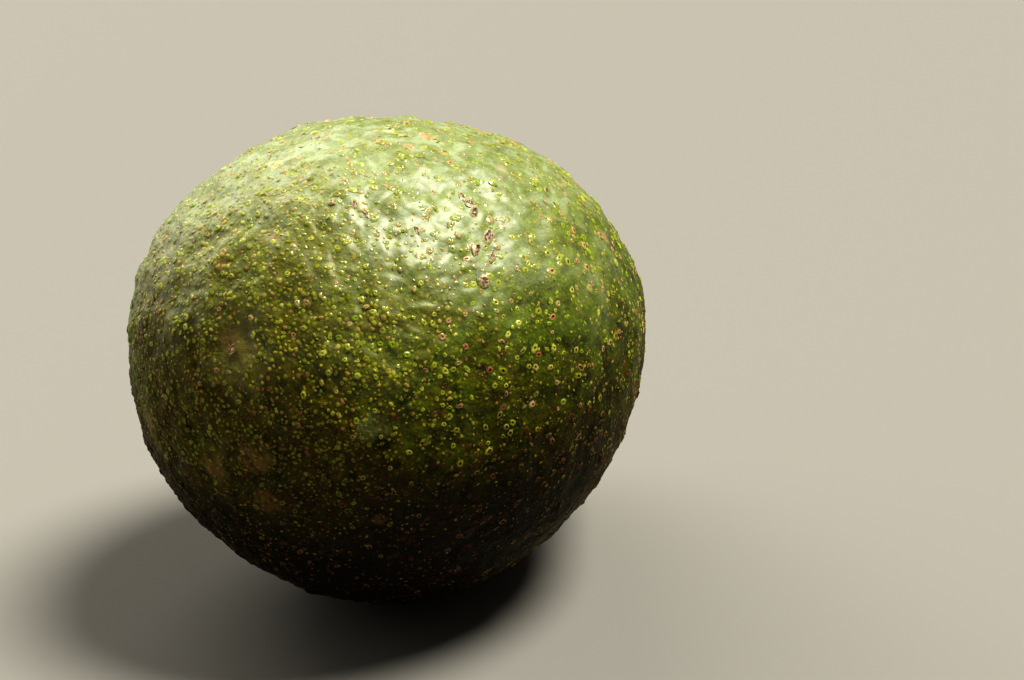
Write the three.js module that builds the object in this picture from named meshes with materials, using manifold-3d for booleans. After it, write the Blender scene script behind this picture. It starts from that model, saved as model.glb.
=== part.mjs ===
// A whole, uncut avocado lying on its side, in millimetres, with +Z up.
// The origin is the middle of the small flat spot that it rests on, and +X points level towards the stem end.
// The fruit is one solid with a leathery, uneven skin. The woody stem button sits in a pocket at its narrow end.
import * as THREE from "three";
import { mergeVertices } from "three/addons/utils/BufferGeometryUtils.js";
import Module from "manifold-3d";

// Driving sizes of the fruit's body, measured along and round its own long axis
const HALF_LENGTH = 52;
const BODY_RADIUS = 36.5;
const TAPER = 0.22; // how much the body narrows from the blossom end to the stem end
const SHOULDER = 0.105; // how much both ends draw in
const NECK = { depth: 0.08, at: 0.62, spread: 0.32 }; // the slight waist below the stem, in half lengths
const OVAL = { share: 0.022, turn: THREE.MathUtils.degToRad(-31) };
const THREE_SIDED = { share: 0.0214, turn: THREE.MathUtils.degToRad(18.7) };
const BELLY_SAG = 2.5; // the long axis bows down this far in the middle

// How the fruit lies: the stem end hangs lower than the blossom end
const STEM_DROP = THREE.MathUtils.degToRad(16.2);
const CENTRE = new THREE.Vector3(5.5, -0.1, 37.5);
const FLAT = { pressed: 7, free: 16 }; // the skin is smooth this near the resting spot, and uneven past the second

// Relief of the skin: broad dents, and the leathery lumps that cover it
const DENTS = { wave: 27, height: 0.15, turn: 0.7 };
const LUMPS = { wave: 7.5, height: 0.12, turn: 2.1 };
const WAVES = 14; // plane waves summed for each kind

// The blossom end: a shallow dimple round the dry point where the flower was
const DIMPLE = { depth: 0.7, spread: 4.2 };
const DRY_POINT = { height: 0.45, spread: 1.1 };

// The stem end: a hollow, and in it the pocket of the button
const STEM_HOLLOW = { depth: 2.1, spread: 5.4 };
const BUTTON_LEAN = THREE.MathUtils.degToRad(9);
const BUTTON_GAP = 0.32;
const BUTTON_SIDES = 28;
const BUTTON_RIBS = { count: 5, share: 0.045 };
// radius and height above the hollow's floor, from the root up to the cut face
const BUTTON_PROFILE = [
  [0, -2.4],
  [2.5, -2.4],
  [3.1, -1.9],
  [3.3, -0.3],
  [4.1, 0.35],
  [4.3, 1.0],
  [3.7, 1.8],
  [2.9, 2.5],
  [2.55, 3.5],
  [2.75, 4.3],
  [2.5, 4.75],
  [1.3, 4.6],
  [0, 4.5],
];

const GRID = 29; // squares along each side of the cube that the body is blown up from
const END_PULL = 0.3; // draws the squares together towards both ends

const wasm = await Module();
wasm.setup();

// Directions spread evenly over a half sphere by the golden angle.
function waveDirections(turn) {
  const golden = Math.PI * (3 - Math.sqrt(5));
  return Array.from({ length: WAVES }, (_, i) => {
    const z = (i + 0.5) / WAVES;
    const flat = Math.sqrt(1 - z * z);
    return [
      flat * Math.cos(golden * i + turn),
      flat * Math.sin(golden * i + turn),
      z,
    ];
  });
}

// Height of the skin's unevenness at a point of the body, as a sum of plane waves.
function relief(kind, x, y, z) {
  const pace = (2 * Math.PI) / kind.wave;
  const sum = waveDirections(kind.turn)
    .map((d, i) => Math.cos(pace * (d[0] * x + d[1] * y + d[2] * z) + i * i))
    .reduce((a, b) => a + b);
  return (kind.height * sum) / Math.sqrt(WAVES / 2);
}

const bell = (distance, spread) => Math.exp(-((distance / spread) ** 2));

// A point of the smooth body. The angle from is 0 at the blossom end and pi at the stem end.
function bodyPoint(from, round) {
  const along = -Math.cos(from);
  const fullness = Math.sin(from) ** 2;
  const outline =
    (1 - TAPER * along - SHOULDER * along ** 2) *
    (1 - NECK.depth * bell(along - NECK.at, NECK.spread));
  const section =
    1 +
    fullness *
      (OVAL.share * Math.cos(2 * (round - OVAL.turn)) +
        THREE_SIDED.share * Math.cos(3 * (round - THREE_SIDED.turn)));
  const radius = BODY_RADIUS * Math.sin(from) * outline * section;
  const point = new THREE.Vector3(
    HALF_LENGTH * along,
    radius * Math.cos(round),
    radius * Math.sin(round),
  );
  point.z -= BELLY_SAG * (1 - along ** 2);
  return { point, radius };
}

// The body's own frame, with its long axis on X, set down on the table.
const pose = new THREE.Matrix4()
  .makeRotationY(STEM_DROP)
  .setPosition(CENTRE);

function skinPoint(direction) {
  const angle = Math.acos(-direction.x);
  const from = angle - (END_PULL / 2) * Math.sin(2 * angle);
  const round = Math.atan2(direction.z, direction.y);
  const { point, radius } = bodyPoint(from, round);
  const outward = new THREE.Vector3(
    point.x / HALF_LENGTH ** 2,
    point.y / BODY_RADIUS ** 2,
    point.z / BODY_RADIUS ** 2,
  ).normalize();
  const placed = point.clone().applyMatrix4(pose);
  const away = placed.length();
  const free = THREE.MathUtils.smoothstep(away, FLAT.pressed, FLAT.free);
  const { x, y, z } = point;
  const height = relief(DENTS, x, y, z) + relief(LUMPS, x, y, z);
  placed.addScaledVector(outward.transformDirection(pose), free * height);
  const inward =
    from < Math.PI / 2
      ? DIMPLE.depth * bell(radius, DIMPLE.spread) -
        DRY_POINT.height * bell(radius, DRY_POINT.spread)
      : -STEM_HOLLOW.depth * bell(radius, STEM_HOLLOW.spread);
  const axis = new THREE.Vector3(1, 0, 0).transformDirection(pose);
  return placed.addScaledVector(axis, inward);
}

// A geometry's faces as a closed solid, with the vertices that its seams repeat merged.
function solidOf(geometry) {
  const bare = geometry.clone();
  bare.deleteAttribute("normal");
  bare.deleteAttribute("uv");
  const merged = mergeVertices(bare, 1e-4);
  return new wasm.Manifold(
    new wasm.Mesh({
      numProp: 3,
      vertProperties: merged.getAttribute("position").array,
      triVerts: new Uint32Array(merged.index.array),
    }),
  );
}

function geometryOf(solid) {
  const mesh = solid.getMesh();
  const geometry = new THREE.BufferGeometry();
  geometry.setAttribute(
    "position",
    new THREE.BufferAttribute(new Float32Array(mesh.vertProperties), 3),
  );
  geometry.setIndex(new THREE.BufferAttribute(new Uint32Array(mesh.triVerts), 1));
  geometry.computeVertexNormals();
  return geometry;
}

// The body is a cube blown up to a ball, with its squares kept alike in size, and then drawn out to the fruit.
function bodyGeometry() {
  const geometry = new THREE.BoxGeometry(2, 2, 2, GRID, GRID, GRID);
  const position = geometry.getAttribute("position");
  const even = (v) => Math.tan((Math.PI / 4) * v);
  for (let i = 0; i < position.count; i += 1) {
    const direction = new THREE.Vector3(
      even(position.getX(i)),
      even(position.getY(i)),
      even(position.getZ(i)),
    ).normalize();
    const placed = skinPoint(direction);
    position.setXYZ(i, placed.x, placed.y, placed.z);
  }
  return geometry;
}

// Stands a shape that was turned about +Y on the hollow's floor, leaning a little up from the long axis.
const buttonPose = new THREE.Matrix4()
  .makeTranslation(HALF_LENGTH - STEM_HOLLOW.depth, 0, 0)
  .multiply(new THREE.Matrix4().makeRotationZ(BUTTON_LEAN - Math.PI / 2))
  .premultiply(new THREE.Matrix4().makeRotationX(Math.PI / 2))
  .premultiply(pose);

function buttonGeometry() {
  const profile = BUTTON_PROFILE.map(([r, h]) => new THREE.Vector2(r, h));
  const geometry = new THREE.LatheGeometry(profile, BUTTON_SIDES);
  const position = geometry.getAttribute("position");
  for (let i = 0; i < position.count; i += 1) {
    const [x, y, z] = [position.getX(i), position.getY(i), position.getZ(i)];
    // only the wood above the pocket is ribbed, and the ribs stay inside the turned outline
    const above = THREE.MathUtils.smoothstep(y, 0.5, 2.5);
    const rib = Math.cos(BUTTON_RIBS.count * Math.atan2(z, x)) - 1;
    const squeeze = 1 + above * BUTTON_RIBS.share * rib;
    position.setXYZ(i, x * squeeze, y, z * squeeze);
  }
  return geometry.applyMatrix4(buttonPose);
}

// The pocket is the button's outline, a gap larger all round, up to its widest ring and straight on from there.
function pocketGeometry() {
  const widest = Math.max(...BUTTON_PROFILE.map(([r]) => r));
  const rings = BUTTON_PROFILE.slice(1, 6).map(
    ([r, h]) => new THREE.Vector2(r + BUTTON_GAP, h - BUTTON_GAP),
  );
  const top = BUTTON_PROFILE.at(-1)[1];
  const profile = [
    new THREE.Vector2(0, BUTTON_PROFILE[0][1] - BUTTON_GAP),
    ...rings,
    new THREE.Vector2(widest + BUTTON_GAP, top),
    new THREE.Vector2(0, top),
  ];
  return new THREE.LatheGeometry(profile, BUTTON_SIDES).applyMatrix4(buttonPose);
}

function tableGeometry() {
  const block = 4 * HALF_LENGTH;
  return new THREE.BoxGeometry(block, block, block).translate(0, 0, -block / 2);
}

function makeFruit() {
  const body = solidOf(bodyGeometry())
    .subtract(solidOf(tableGeometry()))
    .subtract(solidOf(pocketGeometry()));
  const skin = new THREE.MeshStandardMaterial({
    color: 0x4f6420,
    roughness: 0.38,
    metalness: 0,
  });
  const fruit = new THREE.Mesh(geometryOf(body), skin);
  fruit.name = "fruit";
  return fruit;
}

function makeButton() {
  const wood = new THREE.MeshStandardMaterial({
    color: 0x6b4f2e,
    roughness: 0.8,
    metalness: 0,
  });
  const button = new THREE.Mesh(buttonGeometry(), wood);
  button.name = "stem_button";
  return button;
}

const avocado = new THREE.Group();
avocado.add(makeFruit(), makeButton());

export default avocado;
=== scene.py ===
import math
import random
from typing import NamedTuple

import bpy
from mathutils import Matrix, Vector, noise
from mathutils.bvhtree import BVHTree


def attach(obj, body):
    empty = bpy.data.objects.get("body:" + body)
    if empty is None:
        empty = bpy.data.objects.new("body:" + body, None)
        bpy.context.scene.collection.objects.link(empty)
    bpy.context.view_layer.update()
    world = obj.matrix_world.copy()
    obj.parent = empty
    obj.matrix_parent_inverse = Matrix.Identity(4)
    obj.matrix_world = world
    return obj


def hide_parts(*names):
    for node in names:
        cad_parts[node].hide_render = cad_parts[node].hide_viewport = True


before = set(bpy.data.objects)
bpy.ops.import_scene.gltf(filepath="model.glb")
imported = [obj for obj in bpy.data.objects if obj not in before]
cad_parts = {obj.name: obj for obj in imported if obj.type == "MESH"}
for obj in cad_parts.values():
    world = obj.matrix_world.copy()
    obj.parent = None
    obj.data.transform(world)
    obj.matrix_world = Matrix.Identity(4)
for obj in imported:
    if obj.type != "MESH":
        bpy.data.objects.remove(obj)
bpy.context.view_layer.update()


# The skin
# The whole outside is one thin, tough, waxy skin that grew round the flesh as a single piece.
# It is leathery, with broad dents, lumps as big as a pea, and a fine pebbling between its pores.
MM = 0.001
HALF_LENGTH = 52 * MM
BODY_RADIUS = 36.5 * MM
TAPER = 0.22  # the body narrows from the blossom end to the stem end
SHOULDER = 0.105  # and draws in at both
NECK = {"depth": 0.08, "at": 0.62, "spread": 0.32}  # the slight waist below the stem, in half lengths
OVAL = {"share": 0.022, "turn": math.radians(-31)}
THREE_SIDED = {"share": 0.0214, "turn": math.radians(18.7)}
BELLY_SAG = 2.5 * MM  # the long axis bows down this far in the middle

STEM_DROP = math.radians(16.2)  # the stem end hangs lower than the blossom end
CENTRE = Vector((5.5, -0.1, 37.5)) * MM  # the body's middle, above the resting spot at the origin
PRESSED, FREE = 7 * MM, 16 * MM  # the skin is smooth this near the resting spot, and uneven past the second

DENTS = {"wave": 27 * MM, "height": 0.15 * MM, "turn": 0.7}
LUMPS = {"wave": 7.5 * MM, "height": 0.12 * MM, "turn": 2.1}
WAVES = 14  # plane waves summed for each of the two
GOLDEN_ANGLE = math.pi * (3 - math.sqrt(5))
PEBBLES = {"size": 2.6 * MM, "height": 0.4 * MM, "detail": 2.0, "roughness": 0.55, "warp": 0.4}
ROUGHER_TIP = {"along": (0.1, 0.7), "extra": 0.5}  # the pebbles grow taller towards the blossom end
GRAINS = {"size": 1.3 * MM, "height": 0.16 * MM, "level": 0.4}

DIMPLE = {"depth": 0.7 * MM, "spread": 4.2 * MM}
DRY_POINT = {"height": 0.45 * MM, "spread": 1.1 * MM}
STEM_HOLLOW = {"depth": 2.1 * MM, "spread": 5.4 * MM}
STEM_POCKET = {"depth": 2.7 * MM, "radius": 4.0 * MM, "wall": 0.6 * MM}

SKIN_GRID = 128  # squares along each side of the cube that the skin is blown up from
END_PULL = 0.3  # draws the squares together towards both ends


class Wire:
    """An output socket. Python's operators on it add the Math nodes that work the sum out."""

    def __init__(self, web, socket):
        self.web = web
        self.socket = socket

    def math(self, operation, *others):
        values = dict(enumerate((self, *others)))
        return self.web.add("ShaderNodeMath", {"operation": operation}, values)

    def __add__(self, other):
        return self.math("ADD", other)

    def __sub__(self, other):
        return self.math("SUBTRACT", other)

    def __rsub__(self, other):
        return self.math("MULTIPLY_ADD", -1, other)

    def __mul__(self, other):
        return self.math("MULTIPLY", other)

    def __truediv__(self, other):
        return self.math("DIVIDE", other)

    def __rtruediv__(self, other):
        return self.web.add("ShaderNodeMath", {"operation": "DIVIDE"}, {0: other, 1: self})

    def __pow__(self, other):
        return self.math("POWER", other)

    def __neg__(self):
        return self.math("MULTIPLY", -1)

    __radd__ = __add__
    __rmul__ = __mul__


class Web:
    """A node tree while it is put together."""

    def __init__(self, tree):
        self.tree = tree

    def add(self, kind, settings=None, inputs=None, output=0):
        """Adds a node, with its settings first and then its sockets' values or links."""
        node = self.tree.nodes.new(kind)
        for name, value in (settings or {}).items():
            if name == "stops":
                self.set_stops(node.color_ramp, value)
            else:
                setattr(node, name, value)
        for key, value in (inputs or {}).items():
            if isinstance(value, Wire):
                self.feed(node, key, value)
            else:
                node.inputs[key].default_value = value
        return Wire(self, node.outputs[output])

    def set_stops(self, ramp, stops):
        """Gives a colour ramp one stop for each place and colour."""
        ramp.elements.remove(ramp.elements[1])
        ramp.elements[0].position, ramp.elements[0].color = stops[0]
        for position, colour in stops[1:]:
            ramp.elements.new(position).color = colour

    def feed(self, node, name, wire):
        self.tree.links.new(wire.socket, node.inputs[name])

    def feed_bump(self, shader, strength, distance, height):
        """Roughens a shader's surface by a height."""
        sockets = {"Strength": strength, "Distance": distance, "Height": height}
        self.feed(shader, "Normal", self.add("ShaderNodeBump", {}, sockets))

    def tint(self, share, under, over):
        """The colour under, with a share of the colour over."""
        return self.add("ShaderNodeMix", {"data_type": "RGBA"}, {0: share, 6: under, 7: over}, 2)

    def vector(self, x, y, z):
        return self.add("ShaderNodeCombineXYZ", {}, {0: x, 1: y, 2: z})

    def parts(self, vector):
        split = self.add("ShaderNodeSeparateXYZ", {}, {0: vector})
        return [Wire(self, socket) for socket in split.socket.node.outputs]

    def move(self, operation, *vectors, output=0):
        return self.add("ShaderNodeVectorMath", {"operation": operation}, dict(enumerate(vectors)), output)

    def length(self, vector):
        return self.move("LENGTH", vector, output="Value")

    def scaled(self, vector, size):
        return self.add("ShaderNodeVectorMath", {"operation": "SCALE"}, {0: vector, "Scale": size})

    def turned(self, vector, angle):
        """A vector turned about the level axis across the fruit."""
        sockets = {"Vector": vector, "Angle": angle}
        return self.add("ShaderNodeVectorRotate", {"rotation_type": "Y_AXIS"}, sockets)

    def smooth(self, value, low, high):
        """0 at low, 1 at high, and a soft step between."""
        sockets = {"Value": value, "From Min": low, "From Max": high}
        return self.add("ShaderNodeMapRange", {"interpolation_type": "SMOOTHSTEP"}, sockets)

    def bell(self, distance, spread):
        """1 at no distance, falling off softly over the spread."""
        share = distance / spread
        return (-(share * share)).math("EXPONENT")

    def noise(self, point, size, detail=2.0, roughness=0.5, warp=0.0):
        """Cloudy values round 0.5 with lumps of about the given size."""
        sockets = {
            "Vector": point,
            "Scale": 1 / size,
            "Detail": detail,
            "Roughness": roughness,
            "Distortion": warp,
        }
        return self.add("ShaderNodeTexNoise", {}, sockets)

    def cells(self, point, size, feature="F1"):
        """The distance to the middle of the nearest of a crowd of cells of about the given size."""
        return self.add("ShaderNodeTexVoronoi", {"feature": feature}, {"Vector": point, "Scale": 1 / size})


def grow(name, sizes, rule, material, base=None):
    """Runs a rule as a Geometry Nodes tree on a base mesh and keeps the result as a plain mesh."""
    tree = bpy.data.node_groups.new(name, "GeometryNodeTree")
    tree.interface.new_socket("Geometry", in_out="INPUT", socket_type="NodeSocketGeometry")
    tree.interface.new_socket("Geometry", in_out="OUTPUT", socket_type="NodeSocketGeometry")
    kinds = {int: "NodeSocketInt", float: "NodeSocketFloat"}
    for label, value in sizes.items():
        tree.interface.new_socket(label, in_out="INPUT", socket_type=kinds[type(value)])
    web = Web(tree)
    given = tree.nodes.new("NodeGroupInput")
    wires = {socket.name: Wire(web, socket) for socket in given.outputs if socket.name}
    shape = rule(web, wires)
    painted = web.add("GeometryNodeSetMaterial", {}, {"Geometry": shape, "Material": material})
    web.feed(tree.nodes.new("NodeGroupOutput"), 0, painted)

    piece = bpy.data.objects.new(name, base.copy() if base else bpy.data.meshes.new(name))
    bpy.context.scene.collection.objects.link(piece)
    modifier = piece.modifiers.new(name, "NODES")
    modifier.node_group = tree
    for socket in tree.interface.items_tree:
        if socket.name in sizes:
            modifier[socket.identifier] = sizes[socket.name]
    grown = piece.evaluated_get(bpy.context.evaluated_depsgraph_get())
    mesh = bpy.data.meshes.new_from_object(grown)
    piece.modifiers.remove(modifier)
    piece.data = mesh
    mesh.name = name
    return piece


def laid_down(web, point):
    """A point of the body's own frame, with the long axis on X, on the lying fruit."""
    return web.move("ADD", web.turned(point, STEM_DROP), CENTRE)


def body_frame(web, place):
    """A place on the lying fruit in the body's own frame."""
    return web.turned(web.move("SUBTRACT", place, CENTRE), -STEM_DROP)


def body_point(web, size):
    """Each corner's point on the smooth body, its place along the axis from -1 to 1, and its radius."""
    corner = web.parts(web.add("GeometryNodeInputPosition"))
    even = [(axis * (math.pi / 4)).math("TANGENT") for axis in corner]
    dx, dy, dz = web.parts(web.move("NORMALIZE", web.vector(*even)))
    angle = (-dx).math("ARCCOSINE")
    start = angle - (angle * 2).math("SINE") * (END_PULL / 2)
    turn = dz.math("ARCTAN2", dy)

    along = -start.math("COSINE")
    sine = start.math("SINE")
    neck = 1 - web.bell(along - NECK["at"], NECK["spread"]) * NECK["depth"]
    outline = (1 - along * TAPER - along * along * SHOULDER) * neck
    oval = ((turn - OVAL["turn"]) * 2).math("COSINE") * OVAL["share"]
    three = ((turn - THREE_SIDED["turn"]) * 3).math("COSINE") * THREE_SIDED["share"]
    section = 1 + sine * sine * (oval + three)
    radius = sine * outline * section * size["Body radius"]
    sag = (1 - along * along) * BELLY_SAG
    point = web.vector(
        along * size["Half length"],
        radius * turn.math("COSINE"),
        radius * turn.math("SINE") - sag,
    )
    return point, along, radius


def relief(web, kind, point):
    """The skin's unevenness at a point of the body, as a sum of plane waves spread by the golden angle."""
    waves = []
    for i in range(WAVES):
        z = (i + 0.5) / WAVES
        flat = math.sqrt(1 - z * z)
        turn = GOLDEN_ANGLE * i + kind["turn"]
        direction = Vector((flat * math.cos(turn), flat * math.sin(turn), z))
        pace = direction * (2 * math.pi / kind["wave"])
        phase = web.move("DOT_PRODUCT", point, pace, output="Value") + i * i
        waves.append(phase.math("COSINE"))
    return sum(waves) * (kind["height"] / math.sqrt(WAVES / 2))


def skin_height(web, size, point, along):
    """How far the skin stands out from the smooth body. It is pressed smooth where it rests."""
    away = web.length(laid_down(web, point))
    cloud = web.noise(point, PEBBLES["size"], PEBBLES["detail"], PEBBLES["roughness"], PEBBLES["warp"])
    pebble = (cloud - 0.5) * (web.smooth(-along, *ROUGHER_TIP["along"]) * ROUGHER_TIP["extra"] + 1)
    grain = GRAINS["level"] - web.cells(point, GRAINS["size"], "SMOOTH_F1")
    height = relief(web, DENTS, point) + relief(web, LUMPS, point)
    height = height + pebble * size["Pebble height"] * 2 + grain * size["Grain height"]
    return height * web.smooth(away, PRESSED, FREE)


def end_shift(web, along, radius):
    """How far the skin moves along the axis, for the dimple, the dry point and the stem's pocket."""
    at_stem = along.math("GREATER_THAN", 0)
    dimple = web.bell(radius, DIMPLE["spread"]) * DIMPLE["depth"]
    dry_point = web.bell(radius, DRY_POINT["spread"]) * DRY_POINT["height"]
    hollow = web.bell(radius, STEM_HOLLOW["spread"]) * STEM_HOLLOW["depth"]
    low, high = (STEM_POCKET["radius"] + side * STEM_POCKET["wall"] for side in (-1, 1))
    pocket = (1 - web.smooth(radius, low, high)) * STEM_POCKET["depth"]
    return (dimple - dry_point) * (1 - at_stem) - (hollow + pocket) * at_stem


def skin_rule(web, size):
    """A cube blown up to a ball, with its squares kept alike in size, and then drawn out to the fruit."""
    side = SKIN_GRID + 1
    grid = {"Size": (2, 2, 2), "Vertices X": side, "Vertices Y": side, "Vertices Z": side}
    cube = web.add("GeometryNodeMeshCube", {}, grid)
    point, along, radius = body_point(web, size)
    flatter = (HALF_LENGTH**-2, BODY_RADIUS**-2, BODY_RADIUS**-2)
    outward = web.move("NORMALIZE", web.move("MULTIPLY", point, flatter))
    raised = web.move("ADD", point, web.scaled(outward, skin_height(web, size, point, along)))
    shaped = web.move("ADD", raised, web.vector(end_shift(web, along, radius), 0, 0))
    x, y, z = web.parts(laid_down(web, shaped))
    lying = web.vector(x, y, z.math("MAXIMUM", 0))
    mesh = web.add("GeometryNodeSetPosition", {}, {"Geometry": cube, "Position": lying})
    return web.add("GeometryNodeSetShadeSmooth", {}, {"Geometry": mesh})


def paint(red, green, blue):
    """A colour as the screen shows it, from 0 to 255, in the linear light that shaders use."""
    linear = [((c / 255 + 0.055) / 1.055) ** 2.4 for c in (red, green, blue)]
    return (*linear, 1.0)


DEEP_GREEN = paint(28, 38, 1)
LEAF_GREEN = paint(94, 112, 2)
OLIVE_GREEN = paint(100, 94, 6)
# Painted light: a paler yellow green laid on the top, where the overhead light falls
PAINTED_LIGHT_GREEN = paint(138, 146, 34)
YELLOW_GREEN = paint(168, 172, 50)
# The wax's pale film, also laid as a painted sheen where the light glances off
WAX_BLOOM_AND_SHEEN = paint(171, 184, 148)
RUSSET = paint(112, 76, 24)
# Near black for riper skin, and for painted shade on the lower side
RIPE_AND_SHADED_GREEN = paint(17, 11, 1)
CORK = paint(128, 106, 62)

DRIFT = 12 * MM  # the broad clouds that bend every border between two colours
MOTTLE = 2.4 * MM
RUST_PATCH = 5 * MM
BLOOM_CLOUD = 8 * MM
PORE_CLUMP = 2.2 * MM
SPECKS = ({"size": 0.9 * MM, "patch": 1.6 * MM}, {"size": 0.5 * MM, "patch": 2.6 * MM})
SPECK_EDGE = (0.16, 0.34)  # in specks
# The painted reflection of grazing light thickens the wax's film on this far side
SHEEN_SIDE = (0.5, 1.0)  # across the fruit, away from the camera, in body radii

# The values of its cloudy noise at which each thing starts and is full
MOTTLED = (0.31, 0.62)
SPECKLED = (0.44, 0.6)
RUSTED = (0.44, 0.7)
BLOOMED = (0.36, 0.6)
CLUMPED = (0.4, 0.56)

# The marks of the two ends, measured from the long axis, and how ragged their edges are
END_RAGS = {"size": 2.5 * MM, "reach": 5 * MM}
CORK_RING = (4.5 * MM, 7.5 * MM)
DRY_SPOT = (1.0 * MM, 2.6 * MM)

# Where each change starts and ends: up the fruit from 0 to 1, or along its axis from -1 to 1
LEAFY_UP, LEAFY_ALONG = (0.42, 0.7), (-1.0, -0.68)
# Where the painted light on the top starts and is full
PAINTED_LIGHT_UP = (0.62, 0.88)
# The lower skin darkens from ripening and from painted shade
RIPE_AND_SHADE_UP, SLOW_ALONG = (0.34, 0.92), (-0.35, 0.3)
# The wax's film thickens where the highlight falls, as painted sheen
SHEEN_AND_BLOOM_UP, SHEEN_AND_BLOOM_ALONG = (0.66, 0.96), (-1.0, -0.7)
WAXED_UP = (0.52, 0.84)
# Pores redden and darken below, partly as painted shade
AGED_AND_SHADE_UP = (0.3, 0.76)
GROWN_ALONG = (-0.95, -0.5)

# Where the camera stands. It serves to place the marks that the picture shows.
LENS_MM, SENSOR_MM = 50, 23.6
PICTURE_WIDE, PICTURE_HIGH = 1024, 680
EYE = Vector((-269.7, -162.7, 152.5)) * MM
HEADING = math.radians(28.0)
LOOK_DOWN = math.radians(19.84)
forward = Matrix.Rotation(HEADING, 3, "Z") @ Matrix.Rotation(LOOK_DOWN, 3, "Y") @ Vector((1, 0, 0))
rightward = forward.cross(Vector((0, 0, 1))).normalized()
upward = rightward.cross(forward)


def seen_at(shell, pixel):
    """The place on a shell that a pixel of the picture shows, and the way the shell faces there."""
    across = (pixel[0] - PICTURE_WIDE / 2) / PICTURE_WIDE * SENSOR_MM / LENS_MM
    down = (pixel[1] - PICTURE_HIGH / 2) / PICTURE_WIDE * SENSOR_MM / LENS_MM
    ray = forward + rightward * across - upward * down
    return shell.ray_cast(EYE, ray.normalized())[:2]


def shell_of(mesh):
    corners = [corner.co.copy() for corner in mesh.vertices]
    return BVHTree.FromPolygons(corners, [face.vertices[:] for face in mesh.polygons])


solid_shell = shell_of(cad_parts["fruit"].data)
# The pixel, the breadth in millimetres, the colour and its share
STAINS_AND_GLINT = (
    ((275, 165), 2.6, paint(208, 192, 130), 0.5),
    # A near-white painted highlight, among the stains
    ((390, 132), 1.5, paint(236, 230, 196), 0.8),
    ((380, 142), 1.8, paint(190, 152, 112), 0.55),
    ((409, 148), 2.2, paint(190, 154, 114), 0.5),
    ((428, 137), 2.6, paint(194, 154, 120), 0.6),
    ((442, 152), 1.8, paint(194, 154, 120), 0.5),
    ((502, 169), 2.4, paint(184, 160, 126), 0.45),
    ((605, 238), 2.0, paint(182, 138, 100), 0.6),
    ((275, 236), 2.2, paint(146, 96, 40), 0.45),
    ((222, 262), 2.4, paint(132, 96, 46), 0.5),
    ((380, 520), 2.4, paint(120, 92, 44), 0.4),
    ((236, 359), 10.0, paint(142, 138, 78), 0.56),
    ((228, 338), 3.2, paint(122, 94, 58), 0.5),
    ((250, 338), 2.0, paint(70, 74, 14), 0.6),
    ((150, 425), 6.0, paint(138, 122, 80), 0.5),
    ((213, 468), 4.5, paint(142, 112, 70), 0.5),
    ((256, 458), 5.0, paint(146, 116, 72), 0.5),
    ((268, 502), 4.0, paint(136, 100, 58), 0.5),
    ((372, 428), 4.5, paint(122, 134, 84), 0.5),
)


class Look(NamedTuple):
    """The skin at a place. Each value but the colour runs from 0 to 1."""

    colour: Wire
    waxed: Wire  # how glossy its wax is
    bloom_and_sheen: Wire  # how thick its pale film of wax is, with the painted sheen laid in it
    aged_and_shaded: Wire  # how far its pores have reddened, and darkened below as painted shade
    grown: Wire  # how large its pores have grown


def mottled_green(web, place, along, up, drift):
    """Green mottle, leafier above, with yellow-green specks, some rust below, and a top made paler by
    painted light.
    """
    leafy = web.smooth(along + drift * 0.6, *LEAFY_ALONG) * web.smooth(up, *LEAFY_UP)
    leaf = web.tint(leafy, OLIVE_GREEN, LEAF_GREEN)
    mottle = web.smooth(web.noise(place, MOTTLE, 8.0, 0.72), *MOTTLED)
    colour = web.tint(mottle, DEEP_GREEN, leaf)
    for speck in SPECKS:
        dot = 1 - web.smooth(web.cells(place, speck["size"]), *SPECK_EDGE)
        there = web.smooth(web.noise(place, speck["patch"], 2.0), *SPECKLED)
        colour = web.tint(dot * there * 0.5, colour, YELLOW_GREEN)
    rust = web.smooth(web.noise(place, RUST_PATCH, 6.0, 0.75), *RUSTED) * (1 - up)
    colour = web.tint(rust * 0.8, colour, RUSSET)
    # Painted light: the top is made paler and yellower where the overhead light falls
    return web.tint(web.smooth(up, *PAINTED_LIGHT_UP) * 0.3, colour, PAINTED_LIGHT_GREEN)


def wax_bloom_and_painted_sheen(web, place, along, up, across):
    """The pale film of wax, with a painted sheen where the highlight falls on top and a painted reflection
    along the far side. It is thin where the pores crowd and at the blossom end.
    """
    cloud = web.smooth(web.noise(place, BLOOM_CLOUD, 7.0, 0.76, 0.5), *BLOOMED) * 0.8 + 0.2
    crowded = web.smooth(web.noise(place, PORE_CLUMP, 1.0), *CLUMPED)
    sheen_side = web.smooth(across / BODY_RADIUS, *SHEEN_SIDE)
    bloom_and_sheen = cloud * web.smooth(up + sheen_side * 0.36, *SHEEN_AND_BLOOM_UP) * (1 - crowded * 0.5)
    return bloom_and_sheen * (web.smooth(along, *SHEEN_AND_BLOOM_ALONG) * 0.75 + 0.25)


def stained_and_glinted(web, place, colour):
    """A colour with the ragged stains that the picture shows laid over it, and one painted highlight among
    them.
    """
    for pixel, breadth, mark_colour, share in STAINS_AND_GLINT:
        spot = seen_at(solid_shell, pixel)[0]
        away = web.move("DISTANCE", place, spot, output="Value")
        cloudy = web.noise(place, (0.5 + breadth * 0.3) * MM, 6.0, 0.75) - 0.5
        ragged = away + cloudy * ((1.2 + breadth * 1.3) * MM)
        faint = web.smooth(ragged, breadth * 0.2 * MM, breadth * 0.65 * MM)
        colour = web.tint((1 - faint) * share, colour, mark_colour)
    return colour


def corked(web, place, along, radius, colour):
    """A colour with the cork round the stem and the dry spot of the blossom end laid over it."""
    near = (web.noise(place, END_RAGS["size"], 4.0, 0.7) - 0.5) * END_RAGS["reach"] + radius
    at_stem = along.math("GREATER_THAN", 0)
    corky = (1 - web.smooth(near, *CORK_RING)) * at_stem
    colour = web.tint(corky * 0.8, colour, CORK)
    dry = (1 - web.smooth(near, *DRY_SPOT)) * (1 - at_stem)
    return web.tint(dry * 0.2, colour, RUSSET)


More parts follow.
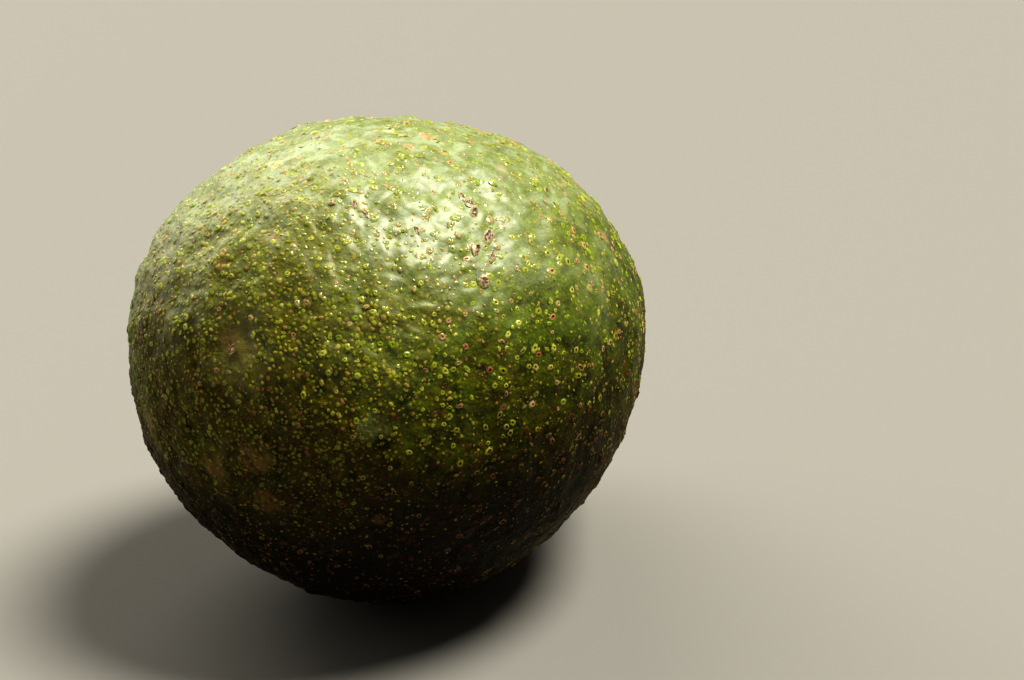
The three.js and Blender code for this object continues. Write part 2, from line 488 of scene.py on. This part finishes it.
def skin_look(web, place):
    """The skin between its pores, riper and darkened by painted shade below, and waxy on top with painted
    light and sheen. It ripens and darkens less by the stem.
    """
    x, y, z = web.parts(body_frame(web, place))
    along = x / HALF_LENGTH
    radius = web.length(web.vector(0, y, z))
    drift = web.noise(place, DRIFT, 3.0) - 0.5
    _, across, rise = web.parts(place)
    up = rise / (2 * BODY_RADIUS) + drift * 0.3
    slow = 1 - web.smooth(along, *SLOW_ALONG) * 0.55

    colour = mottled_green(web, place, along, up, drift)
    # Ripening and painted shade darken the skin towards the bottom
    ripe_and_shade = (1 - web.smooth(up - along * 0.16, *RIPE_AND_SHADE_UP)) * slow
    colour = web.tint(ripe_and_shade * 0.94, colour, RIPE_AND_SHADED_GREEN)
    # The wax's pale film, with a painted sheen where the highlight falls and along the far side
    bloom_and_sheen = wax_bloom_and_painted_sheen(web, place, along, up, across)
    colour = web.tint(bloom_and_sheen * 0.7, colour, WAX_BLOOM_AND_SHEEN)
    colour = stained_and_glinted(web, place, colour)
    colour = corked(web, place, along, radius, colour)
    # Pores redden and darken below, partly ripening and partly painted shade
    aged_and_shaded = (1 - web.smooth(up, *AGED_AND_SHADE_UP)) * slow
    return Look(colour, web.smooth(up, *WAXED_UP), bloom_and_sheen, aged_and_shaded, web.smooth(along, *GROWN_ALONG))


def finish(name, even_values):
    """A new material, the web of its nodes, and its shader, with what is the same all over already set."""
    material = bpy.data.materials.new(name)
    material.use_nodes = True
    shader = material.node_tree.nodes["Principled BSDF"]
    for socket, value in even_values.items():
        shader.inputs[socket].default_value = value
    return material, Web(material.node_tree), shader


GLOSS_CLOUD = 3 * MM
CRINKLES = {"size": 1.1 * MM, "cells": 0.6 * MM, "strength": 0.8, "depth": 0.36 * MM}


def skin_finish():
    """Tough skin under a coat of wax, which is glossier above."""
    coat = {"Coat Roughness": 0.46, "Coat IOR": 1.66, "Specular IOR Level": 0.05}
    material, web, shader = finish("speckled skin", coat)
    place = web.add("ShaderNodeTexCoord", output="Object")
    look = skin_look(web, place)
    web.feed(shader, "Base Color", look.colour)
    web.feed(shader, "Coat Weight", look.waxed * 0.8 + 0.08)
    web.feed(shader, "Roughness", 0.46 + web.noise(place, GLOSS_CLOUD, 3.0) * 0.1)
    crinkles = web.noise(place, CRINKLES["size"], 4.0, 0.62) + web.cells(place, CRINKLES["cells"]) * 0.3
    web.feed_bump(shader, CRINKLES["strength"], CRINKLES["depth"], crinkles)
    return material


skin_sizes = {
    "Half length": HALF_LENGTH,
    "Body radius": BODY_RADIUS,
    "Pebble height": PEBBLES["height"],
    "Grain height": GRAINS["height"],
}
skin = grow("skin", skin_sizes, skin_rule, skin_finish())
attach(skin, "root")
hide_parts("fruit")


# The pores
# The skin breathes through thousands of corky pores, which grew up out of it as it stretched.
# The larger ones are raised rings round a brown pit. The many small ones between them are closed beads.
RING = {"sides": 6, "bands": 4, "clump": PORE_CLUMP}
RING_SIZES = {
    "Apart": 1.05 * MM,
    "Share": 0.7,
    "Blossom crowd": 0.0,
    "Blossom radius": 0.52 * MM,
    "Middle radius": 0.66 * MM,
    "Seed": 3,
}
BEAD = {"sides": 6, "bands": 2, "clump": 1.4 * MM}
BEAD_SIZES = {
    "Apart": 0.6 * MM,
    "Share": 0.66,
    "Blossom crowd": 0.6,
    "Blossom radius": 0.4 * MM,
    "Middle radius": 0.3 * MM,
    "Seed": 8,
}
DENSEST = 4e6  # places tried on each square metre
CROWD_PATCH = 9 * MM
BARE_FOOT = 10 * MM  # there are no pores this near the resting spot
BARE_STEM = 5.6 * MM  # nor this near the long axis at the stem end
BARE_TIP = 3.2 * MM  # nor this near it at the blossom end
PORE_OVAL = (0.78, 1.28)
PORE_TALL = (0.4, 0.85)
PORE_SPREAD = {"least": 0.6, "more": 0.8, "skew": 1.7}  # most are small, and a few are large
PORE_SALTS = {"spin": 11, "breadth": 12, "oval": 13, "tall": 14, "tone": 15}
CROWDED = (0.25, 0.6)  # the values of the noise at which the crowding starts and is full
# Where the clumps run together and the crowd thickens, in half lengths towards the blossom end
MERGED_TIP = (0.5, 0.95)
CROWDED_TIP = (0.6, 0.95)
WIDER_ALONG = (-0.97, -0.5)  # where the blossom end's breadth gives way to the middle's
SHAKE = {"size": 0.45 * MM, "reach": 0.36 * MM}
ALL_ROUND = 6.28  # radians


def chance(web, size, span, salt):
    """A random number for each repeat within a span, from the tree's seed and a salt of its own."""
    draw = {2: span[0], 3: span[1], "Seed": size["Seed"] + salt}
    return web.add("FunctionNodeRandomValue", {"data_type": "FLOAT"}, draw, 1)


def spun(web, size, rotation, salt):
    """A rotation with a random turn about its own upright axis."""
    turn = {"Axis": (0, 0, 1), "Angle": chance(web, size, (0.0, ALL_ROUND), salt)}
    spin = web.add("FunctionNodeAxisAngleToRotation", {}, turn)
    both = {"Rotation": rotation, "Rotate By": spin}
    return web.add("FunctionNodeRotateRotation", {"rotation_space": "LOCAL"}, both)


def dish(web, kind, height):
    """A round dish of radius 1, with its distance from the middle kept as the attribute out."""
    grid = {"Size X": 1.0, "Size Y": 1.0, "Vertices X": kind["bands"] + 1, "Vertices Y": kind["sides"] + 1}
    flat = web.add("GeometryNodeMeshGrid", {}, grid)
    gx, gy, _ = web.parts(web.add("GeometryNodeInputPosition"))
    kept = {"Geometry": flat, "Name": "out", "Value": gx + 0.5}
    marked = web.add("GeometryNodeStoreNamedAttribute", {}, kept)
    out = web.add("GeometryNodeInputNamedAttribute", {}, {"Name": "out"})
    turn = gy * (2 * math.pi)
    around = web.vector(out * turn.math("COSINE"), out * turn.math("SINE"), height(web, out))
    shaped = web.add("GeometryNodeSetPosition", {}, {"Geometry": marked, "Position": around})
    return web.add("GeometryNodeMergeByDistance", {}, {"Geometry": shaped, "Distance": 0.001})


def set_on(web, points, shape, rotation, scale):
    """A copy of a shape on each point."""
    sockets = {"Points": points, "Instance": shape, "Rotation": rotation, "Scale": scale}
    return web.add("GeometryNodeInstanceOnPoints", {}, sockets)


def roughened(web, repeats, size, reach):
    """Makes repeats real and shakes their corners, so that no two look alike."""
    mesh = web.add("GeometryNodeRealizeInstances", {}, {"Geometry": repeats})
    place = web.add("GeometryNodeInputPosition")
    shake = web.add("ShaderNodeTexNoise", {}, {"Vector": place, "Scale": 1 / size}, "Color")
    offset = web.scaled(web.move("SUBTRACT", shake, (0.5, 0.5, 0.5)), reach)
    shaken = web.add("GeometryNodeSetPosition", {}, {"Geometry": mesh, "Offset": offset})
    return web.add("GeometryNodeSetShadeSmooth", {}, {"Geometry": shaken})


def ring_height(web, out):
    """A rim round a pit, in pore radii. The skirt ends a little under the skin."""
    return web.bell(out - 0.4, 0.27) * 0.4 - 0.06


def bead_height(web, out):
    """A low dome, in pore radii, sunk a little into the skin."""
    return (out * (math.pi / 2)).math("COSINE") * 0.4 - 0.08


def pore_rule(kind, height):
    """Pores scattered over the skin in clumps, which change in size and run together at the blossom end."""

    def rule(web, size):
        place = web.add("GeometryNodeInputPosition")
        x, y, z = web.parts(body_frame(web, place))
        along = x / HALF_LENGTH
        radius = web.length(web.vector(0, y, z))
        bare = along.math("GREATER_THAN", 0) * (BARE_STEM - BARE_TIP) + BARE_TIP
        open_skin = web.length(place).math("GREATER_THAN", BARE_FOOT) * radius.math("GREATER_THAN", bare)
        clump = web.smooth(web.noise(place, kind["clump"], 1.0), *CLUMPED)
        clump = web.smooth(-along, *MERGED_TIP) * (1 - clump) * 0.6 + clump
        crowd = web.smooth(web.noise(place, CROWD_PATCH, 2.0), *CROWDED) * 0.5 + 0.5
        crowd = crowd + web.smooth(-along, *CROWDED_TIP) * size["Blossom crowd"]
        scatter = web.add(
            "GeometryNodeDistributePointsOnFaces",
            {"distribute_method": "POISSON"},
            {
                "Mesh": size["Geometry"],
                "Selection": open_skin,
                "Distance Min": size["Apart"],
                "Density Max": DENSEST,
                "Density Factor": crowd * (clump * 0.8 + 0.08) * size["Share"],
                "Seed": size["Seed"],
            },
        )

        upright = Wire(web, scatter.socket.node.outputs["Rotation"])
        rotation = spun(web, size, upright, PORE_SALTS["spin"])
        grown = web.smooth(along, *WIDER_ALONG)
        breadth = grown * (size["Middle radius"] - size["Blossom radius"]) + size["Blossom radius"]
        draw = chance(web, size, (0.0, 1.0), PORE_SALTS["breadth"]) ** PORE_SPREAD["skew"]
        breadth = breadth * (draw * PORE_SPREAD["more"] + PORE_SPREAD["least"])
        oval = chance(web, size, PORE_OVAL, PORE_SALTS["oval"])
        tall = chance(web, size, PORE_TALL, PORE_SALTS["tall"]) * (1.3 - grown * 0.3)
        scale = web.vector(breadth * oval, breadth / oval, breadth * tall)
        pores = set_on(web, scatter, dish(web, kind, height), rotation, scale)
        tone = chance(web, size, (0.0, 1.0), PORE_SALTS["tone"])
        kept = {"Geometry": pores, "Name": "tone", "Value": tone}
        toned = web.add("GeometryNodeStoreNamedAttribute", {"domain": "INSTANCE"}, kept)
        return roughened(web, toned, SHAKE["size"], SHAKE["reach"])

    return rule


# Dark red for aged pores, deepened below as painted shade
RIPE_RED_AND_SHADE = paint(52, 24, 9)
RIMS = (
    (0.0, paint(150, 172, 40)),
    (0.35, paint(204, 204, 94)),
    (0.6, paint(146, 156, 44)),
    (0.78, paint(218, 186, 136)),
    (0.9, paint(176, 124, 88)),
    (1.0, paint(104, 54, 32)),
)
PITS = (
    (0.0, paint(44, 12, 6)),
    (0.35, paint(84, 28, 12)),
    (0.65, paint(104, 64, 18)),
    (0.85, paint(98, 30, 16)),
    (1.0, paint(126, 68, 38)),
)
BEADS = (
    (0.0, paint(136, 146, 36)),
    (0.5, paint(188, 184, 78)),
    (0.78, paint(180, 152, 88)),
    (1.0, paint(146, 102, 60)),
)
WARM_CLOUD = 16 * MM
RIM_BLOTCH = 0.35 * MM
WARMEST = 0.84  # as far along its ramp as a rim gets before it ages


def pore_finish(name, rims, pits):
    """The pore's rim and pit, which fade into the skin at its skirt."""
    even_values = {"Coat Roughness": 0.2, "Specular IOR Level": 0.05, "Roughness": 0.5}
    material, web, shader = finish(name, even_values)
    place = web.add("ShaderNodeTexCoord", output="Object")
    look = skin_look(web, place)
    out = web.add("ShaderNodeAttribute", {"attribute_name": "out"}, output="Fac")
    tone = web.add("ShaderNodeAttribute", {"attribute_name": "tone"}, output="Fac")
    drift = web.noise(place, WARM_CLOUD, 2.0) - 0.5
    warmth = (tone + drift * 0.7 + look.bloom_and_sheen * 0.34 - 0.08).math("MINIMUM", WARMEST)
    rim = web.add("ShaderNodeValToRGB", {"stops": rims}, {"Fac": warmth + look.aged_and_shaded * 0.6})
    # The fraction left when a pore's tone is multiplied serves as one more random number for it
    pit = web.add("ShaderNodeValToRGB", {"stops": pits}, {"Fac": (tone * 7.31).math("FRACT")})
    blotch = web.noise(place, RIM_BLOTCH, 2.0, 0.6) - 0.5
    rim = web.tint(web.smooth(blotch, -0.06, 0.2) * 0.5 + 0.2 - look.grown * 0.1, rim, look.colour)
    wide = ((tone * 3.77).math("FRACT") * 0.28 + 0.08) * (look.grown * 0.9 + 0.1) + look.aged_and_shaded * 0.24
    pitted = 1 - web.smooth(out + blotch * 0.5 - wide, -0.06, 0.1)
    # Under the painted sheen on top, rims and pits fade into the skin's pale colour
    rim = web.tint(look.bloom_and_sheen * 0.6, rim, look.colour)
    colour = web.tint(pitted * (1 - look.bloom_and_sheen * 0.6), rim, pit)
    ruddy = (tone * 5.13).math("FRACT") * 0.45 + 0.48
    # Pores darken to red below, partly as painted shade
    colour = web.tint(look.aged_and_shaded * ruddy, colour, RIPE_RED_AND_SHADE)
    edge = out + blotch * 0.5
    colour = web.tint(web.smooth(edge, 0.54, 0.7) * (1 - look.waxed) * 0.5, colour, DEEP_GREEN)
    colour = web.tint(web.smooth(edge, 0.52, 1.0), colour, look.colour)
    web.feed(shader, "Base Color", colour)
    web.feed(shader, "Coat Weight", look.waxed * 0.5 + 0.16)
    return material


for name, sizes, rule, material in (
    ("pores_open", RING_SIZES, pore_rule(RING, ring_height), pore_finish("open pores", RIMS, PITS)),
    ("pores_closed", BEAD_SIZES, pore_rule(BEAD, bead_height), pore_finish("closed pores", BEADS, BEADS)),
):
    pores = grow(name, sizes, rule, material, base=skin.data)
    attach(pores, "root")


# The scabs
# Small hard scabs of cork, where the skin was rubbed or bitten as the fruit grew.
# They are dark and rough with paler flecks, and stand up a little from the green.
SCAB = {"sides": 14, "bands": 6}
# The pixel that shows each one, and its breadth in millimetres
SCABS_SEEN = (
    ((462, 196), 1.4),
    ((470, 203), 1.8),
    ((474, 212), 2.1),
    ((488, 236), 2.7),
    ((477, 249), 2.2),
    ((492, 256), 1.7),
    ((484, 281), 2.2),
    ((355, 204), 1.5),
    ((366, 213), 1.4),
    ((417, 230), 1.6),
)
SCABS_HIDDEN = {"count": 16, "seed": 12, "breadths": (0.9, 1.9)}
FAR_OUT = 4 * HALF_LENGTH
STEM_CLEAR = HALF_LENGTH * 0.85
SCAB_OVAL = (0.66, 1.45)
SCAB_SALTS = {"spin": 1, "oval": 2}
skin_shell = shell_of(skin.data)


def hidden_spots():
    """Scabs scattered over the side that the picture doesn't show, clear of the foot and of the stem."""
    dice = random.Random(SCABS_HIDDEN["seed"])
    spots = []
    while len(spots) < SCABS_HIDDEN["count"]:
        aim = Vector([dice.gauss(0, 1) for _ in range(3)]).normalized()
        place, facing = skin_shell.ray_cast(CENTRE + aim * FAR_OUT, -aim)[:2]
        shown = facing.dot(EYE - place) > 0
        if not shown and place.z > BARE_FOOT and place.x < STEM_CLEAR:
            spots.append((place, facing, dice.uniform(*SCABS_HIDDEN["breadths"]) * MM))
    return spots


def spots_mesh(name, spots):
    """Loose points on the skin, each with the way it faces and its breadth."""
    mesh = bpy.data.meshes.new(name)
    mesh.from_pydata([place for place, _, _ in spots], [], [])
    facing = mesh.attributes.new("facing", "FLOAT_VECTOR", "POINT")
    facing.data.foreach_set("vector", [part for _, way, _ in spots for part in way])
    breadth = mesh.attributes.new("breadth", "FLOAT", "POINT")
    breadth.data.foreach_set("value", [wide for _, _, wide in spots])
    return mesh


def crust_rule(kind, height):
    """A crust of cork on each spot, of the spot's own breadth."""

    def rule(web, size):
        vector = {"data_type": "FLOAT_VECTOR"}
        facing = web.add("GeometryNodeInputNamedAttribute", vector, {"Name": "facing"})
        upright = web.add("FunctionNodeAlignRotationToVector", {"axis": "Z"}, {"Vector": facing})
        rotation = spun(web, size, upright, SCAB_SALTS["spin"])
        radius = web.add("GeometryNodeInputNamedAttribute", {}, {"Name": "breadth"}) * 0.5
        oval = chance(web, size, SCAB_OVAL, SCAB_SALTS["oval"])
        scale = web.vector(radius * oval, radius / oval, radius)
        crusts = set_on(web, size["Geometry"], dish(web, kind, height), rotation, scale)
        return roughened(web, crusts, size["Crag"], size["Crag"] * 0.8)

    return rule


def scab_height(web, out):
    """A thick rim round a shallow hollow, in scab radii. The skirt ends a little under the skin."""
    return web.bell(out - 0.4, 0.42) * 0.26 - 0.07


PALE_CORK = paint(226, 200, 184)
RAGS = {"size": 0.6 * MM, "reach": 1.6}
FLECK = 0.32 * MM
GRIT = {"size": 0.3 * MM, "strength": 0.6, "depth": 0.2 * MM}


def crust_finish(name, middle, ring, rim):
    """Flecked cork from its middle outwards, which fades into the skin at its edge."""
    cork = {"Roughness": 0.55, "Specular IOR Level": 0.2, "Coat Weight": 0.35, "Coat Roughness": 0.25}
    material, web, shader = finish(name, cork)
    place = web.add("ShaderNodeTexCoord", output="Object")
    out = web.add("ShaderNodeAttribute", {"attribute_name": "out"}, output="Fac")
    ragged = out + (web.noise(place, RAGS["size"], 4.0, 0.7) - 0.5) * RAGS["reach"]
    colour = web.tint(web.smooth(ragged, 0.05, 0.3), middle, ring)
    colour = web.tint(web.smooth(ragged, 0.4, 0.6), colour, rim)
    fleck = web.smooth(web.noise(place, FLECK, 2.0), 0.56, 0.64)
    colour = web.tint(fleck * 0.7, colour, PALE_CORK)
    colour = web.tint(web.smooth(ragged, 0.66, 0.9), colour, skin_look(web, place).colour)
    web.feed(shader, "Base Color", colour)
    web.feed_bump(shader, GRIT["strength"], GRIT["depth"], web.noise(place, GRIT["size"], 3.0))
    return material


spots = [(*seen_at(skin_shell, pixel), wide * MM) for pixel, wide in SCABS_SEEN] + hidden_spots()
scabs = grow(
    "scabs",
    {"Crag": 0.6 * MM, "Seed": 5},
    crust_rule(SCAB, scab_height),
    crust_finish("scab cork", paint(150, 122, 90), paint(74, 52, 34), paint(178, 160, 118)),
    spots_mesh("scab spots", spots),
)
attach(scabs, "root")


# The blossom scar
# The dry, ragged disc of cork that the flower left on the broad end when it fell.
# The stump of its style stands in the middle, pale inside a ring of brown.
SCAR = {"sides": 26, "bands": 12}
SCAR_PIXEL = (232, 350)
SCAR_BREADTH = 1.7 * MM


def scar_height(web, out):
    """The stump in the middle and a low rim round it, in scar radii."""
    return web.bell(out, 0.26) * 0.14 + web.bell(out - 0.66, 0.2) * 0.1 - 0.06


scar = grow(
    "blossom_scar",
    {"Crag": 0.5 * MM, "Seed": 2},
    crust_rule(SCAR, scar_height),
    crust_finish("scar cork", paint(222, 184, 146), paint(142, 96, 58), paint(118, 84, 44)),
    spots_mesh("scar spot", [(*seen_at(skin_shell, SCAR_PIXEL), SCAR_BREADTH)]),
)
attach(scar, "root")


# The stem button
# The short stub of the stalk, of hard dry wood, which stays in its pocket when the fruit is picked.
# Its bark is furrowed along the grain, and its cut face has shrunk and cracked.
BUTTON_LEAN = math.radians(9)
# The radius and the height above the hollow's floor, in millimetres, from the root up to the cut face
BUTTON_PROFILE = (
    (0, -2.4),
    (2.5, -2.4),
    (3.1, -1.9),
    (3.3, -0.3),
    (4.1, 0.35),
    (4.3, 1.0),
    (3.7, 1.8),
    (2.9, 2.5),
    (2.55, 3.5),
    (2.75, 4.3),
    (2.5, 4.75),
    (1.3, 4.6),
    (0, 4.5),
)
BUTTON_SIDES = 120
BUTTON_STEPS = 5
# Lengths in millimetres. The ribs start above the pocket, and only the cut face is cracked.
# The furrows are faint below the pocket's edge, and near the axis.
RIBS = {"count": 5, "share": 0.045, "start": 0.5, "full": 2.5}
FURROWS = {"apart": 0.5, "depth": 0.16, "stretch": 0.22, "buried": 0.3, "full_radius": 2}
CRACKS = {"above": 4.4, "pace": 1.6, "depth": 0.3, "level": 7}


def turned_curve(profile, steps):
    """A smooth curve through the points of a profile, with some steps from each to the next."""
    points = [Vector(point) for point in (profile[0], *profile, profile[-1])]
    curve = []
    for before, start, end, after in zip(points, points[1:], points[2:], points[3:]):
        for step in range(steps):
            t = step / steps
            bend = (2 * before - 5 * start + 4 * end - after) * t**2
            twist = (3 * start - before - 3 * end + after) * t**3
            curve.append((2 * start + (end - before) * t + bend + twist) / 2)
    return [*curve, points[-1]]


def button_corner(radius, height, turn):
    """One corner of the stub, ribbed and furrowed, and cracked on the cut face."""
    x, z = math.cos(turn), math.sin(turn)
    above = min(max((height - RIBS["start"]) / (RIBS["full"] - RIBS["start"]), 0), 1)
    squeeze = 1 + above * RIBS["share"] * (math.cos(RIBS["count"] * turn) - 1)
    grain = Vector((x * radius, height * FURROWS["stretch"], z * radius)) / FURROWS["apart"]
    shallow = min(1, radius / FURROWS["full_radius"])
    furrow = abs(noise.noise(grain)) * FURROWS["depth"] * shallow
    across = radius * squeeze - furrow * (FURROWS["buried"] + above)
    if height > CRACKS["above"]:
        crack = noise.noise(Vector((x * radius, CRACKS["level"], z * radius)) * CRACKS["pace"])
        height += min(crack, 0) * CRACKS["depth"]
    return across * x, height, across * z


def button_mesh():
    """The stub about its own axis, in millimetres, with that frame kept as the attribute grain."""
    curve = turned_curve(BUTTON_PROFILE, BUTTON_STEPS)[1:-1]
    turns = [2 * math.pi * side / BUTTON_SIDES for side in range(BUTTON_SIDES)]
    corners = [button_corner(radius, height, turn) for radius, height in curve for turn in turns]
    rings = len(curve)
    corners += [(0, BUTTON_PROFILE[0][1], 0), (0, BUTTON_PROFILE[-1][1], 0)]
    root, cut = rings * BUTTON_SIDES, rings * BUTTON_SIDES + 1
    faces = []
    for side in range(BUTTON_SIDES):
        beside = (side + 1) % BUTTON_SIDES
        faces.append((root, side, beside))
        last = (rings - 1) * BUTTON_SIDES
        faces.append((cut, last + beside, last + side))
        for ring in range(rings - 1):
            low, high = ring * BUTTON_SIDES, (ring + 1) * BUTTON_SIDES
            faces.append((low + side, high + side, high + beside, low + beside))
    mesh = bpy.data.meshes.new("stem_stub")
    mesh.from_pydata(corners, [], faces)
    grain = mesh.attributes.new("grain", "FLOAT_VECTOR", "POINT")
    grain.data.foreach_set("vector", [part for corner in corners for part in corner])
    mesh.shade_smooth()
    return mesh


BARK_FURROW, BARK_RIDGE = paint(44, 32, 18), paint(122, 98, 62)
WEATHERED = paint(146, 134, 108)
GREEN_BARK = paint(104, 92, 34)
CUT_WOOD, CUT_RING = paint(150, 116, 72), paint(104, 74, 42)
HEART = paint(58, 38, 22)
GREEN_UP_TO = (1.4, 2.4)
FACE_ABOVE, FACE_WITHIN = (4.3, 4.5), (2.2, 2.5)


def button_finish():
    """Streaked bark, greener by the fruit, and a cut face with rings and a dark heart."""
    material, web, shader = finish("dry stalk wood", {"Specular IOR Level": 0.25})
    own = web.add("ShaderNodeAttribute", {"attribute_name": "grain"}, output="Vector")
    x, height, z = web.parts(own)
    out = web.length(web.vector(x, 0, z))
    along_grain = web.vector(x, height * 0.16, z)
    streak = web.smooth(web.noise(along_grain, 0.4, 5.0, 0.65), 0.36, 0.66)
    bark = web.tint(streak, BARK_FURROW, BARK_RIDGE)
    grey = web.smooth(web.noise(own, 1.3, 4.0, 0.6), 0.5, 0.7)
    bark = web.tint(grey * 0.5, bark, WEATHERED)
    green = 1 - web.smooth(height + web.noise(own, 1.5, 3.0) * 1.2, *GREEN_UP_TO)
    bark = web.tint(green * 0.6, bark, GREEN_BARK)
    rings = (out * 9 + web.noise(own, 1.2, 3.0) * 3).math("SINE") * 0.5 + 0.5
    cut = web.tint(rings * 0.5, CUT_WOOD, CUT_RING)
    heart = 1 - web.smooth(out + web.noise(own, 0.8, 3.0) * 0.6, 0.5, 1.1)
    cut = web.tint(heart * 0.8, cut, HEART)
    on_face = web.smooth(height, *FACE_ABOVE) * (1 - web.smooth(out, *FACE_WITHIN))
    web.feed(shader, "Base Color", web.tint(on_face, bark, cut))
    web.feed(shader, "Roughness", streak * 0.15 + 0.68)
    web.feed_bump(shader, 0.6, 0.15 * MM, web.noise(along_grain, 0.25, 3.0))
    return material


stub_mesh = button_mesh()
stub_mesh.materials.append(button_finish())
stub_mesh.transform(
    Matrix.Translation(CENTRE)
    @ Matrix.Rotation(STEM_DROP, 4, "Y")
    @ Matrix.Rotation(math.pi / 2, 4, "X")
    @ Matrix.Translation((HALF_LENGTH - STEM_HOLLOW["depth"], 0, 0))
    @ Matrix.Rotation(BUTTON_LEAN - math.pi / 2, 4, "Z")
    @ Matrix.Scale(MM, 4)
)
stub = bpy.data.objects.new("stem_stub", stub_mesh)
bpy.context.scene.collection.objects.link(stub)
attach(stub, "root")
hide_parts("stem_button")


# The camera
# A normal lens, a hand's breadth higher than the top of the fruit and 0.3 m off its blossom end.
# It stands where the marks on the skin were placed from.
lens = bpy.data.cameras.new("camera")
lens.lens = LENS_MM
lens.sensor_width = SENSOR_MM
lens.clip_start = 0.01
camera = bpy.data.objects.new("camera", lens)
camera.location = EYE
camera.rotation_euler = forward.to_track_quat("-Z", "Y").to_euler()
bpy.context.scene.collection.objects.link(camera)
bpy.context.scene.camera = camera


# The floor and the light
# A plain pale floor, a soft light above the fruit, and two broad ones behind and beside it.
# The room around adds a faint warm glow.
FLOOR_SIZE = 12.0
LAMP_COLOUR = (1.0, 0.97, 0.87)
# The name, the place, the breadth in degrees and the strength
LAMPS = (
    ("overhead", (0.27, -0.52, 1.4), 24, 4.4),
    ("behind", (0.7, 1.1, 1.3), 50, 1.3),
    ("beside", (0.1, 1.4, 0.42), 60, 1.2),
)
ROOM = {"Color": paint(245, 240, 228), "Strength": 0.12}

bpy.context.scene.view_settings.view_transform = "Standard"
bpy.context.scene.view_settings.look = "High Contrast"
bpy.ops.mesh.primitive_plane_add(size=FLOOR_SIZE)
floor = bpy.context.object
floor.name = "floor"
floor_values = {"Base Color": paint(136, 134, 130), "Roughness": 0.85, "Specular IOR Level": 0.1}
floor.data.materials.append(finish("pale floor", floor_values)[0])

for name, place, wide, power in LAMPS:
    lamp = bpy.data.lights.new(name, "SUN")
    lamp.angle = math.radians(wide)
    lamp.energy = power
    lamp.color = LAMP_COLOUR
    stand = bpy.data.objects.new(name, lamp)
    stand.location = place
    stand.rotation_euler = (CENTRE - Vector(place)).to_track_quat("-Z", "Y").to_euler()
    bpy.context.scene.collection.objects.link(stand)

world = bpy.data.worlds.new("room")
world.use_nodes = True
for socket, value in ROOM.items():
    world.node_tree.nodes["Background"].inputs[socket].default_value = value
bpy.context.scene.world = world
